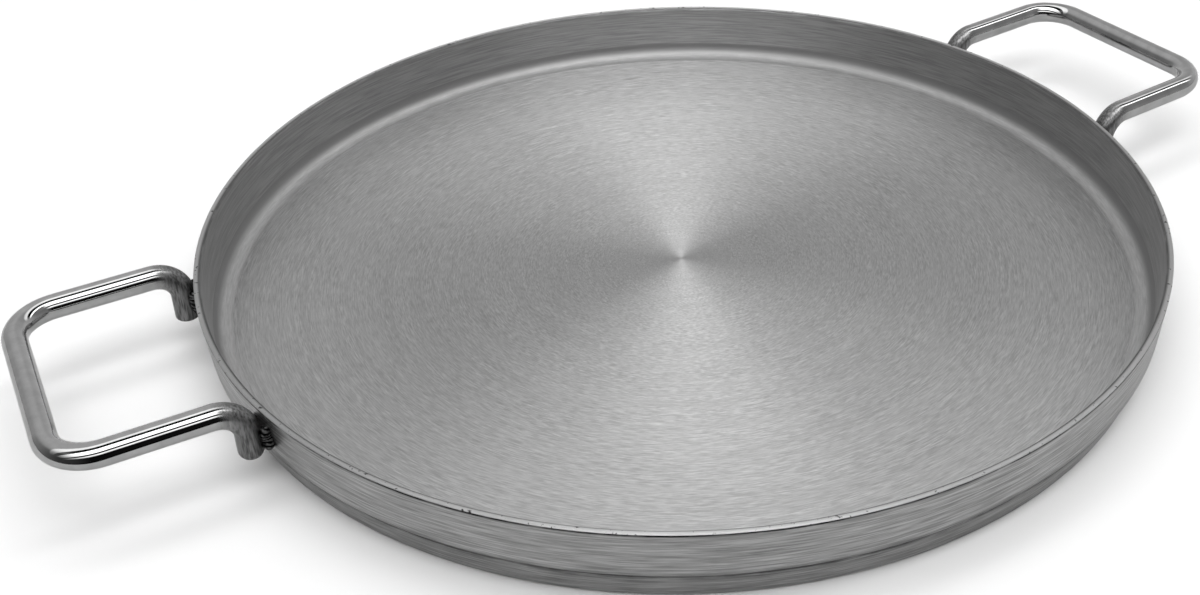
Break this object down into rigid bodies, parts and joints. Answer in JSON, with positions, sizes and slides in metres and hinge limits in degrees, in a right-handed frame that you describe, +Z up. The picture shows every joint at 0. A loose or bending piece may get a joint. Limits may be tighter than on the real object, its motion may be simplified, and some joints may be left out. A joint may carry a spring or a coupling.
{
  "type": "round griddle pan",
  "caption": "Round shallow stovetop griddle pan of brushed stainless steel with a sandwich base and bent-bar loop handles welded to its wall.",
  "frame": {"origin": "centre of the flat underside, on the surface the pan stands on", "axes": "+Z up out of the pan, +X along the line of the two handles, +Y towards the side that both handles lean to"},
  "size_m": [0.6198, 0.4572, 0.0469],
  "materials": {
    "dish": "circular brushed stainless steel",
    "core": "bare rolled aluminium, closed in",
    "cap": "spun stainless steel, satin",
    "bar": "polished stainless steel bar",
    "weld": "heat-blackened weld metal"
  },
  "bodies": {
    "root": {"pan_dish": "dish", "base_core": "core", "base_cap": "cap", "handle_left": "bar", "handle_right": "bar", "weld_left_a_inner": "weld", "weld_left_a_outer": "weld", "weld_left_b_inner": "weld", "weld_left_b_outer": "weld", "weld_right_a_inner": "weld", "weld_right_a_outer": "weld", "weld_right_b_inner": "weld", "weld_right_b_outer": "weld"}
  },
  "joints": []
}
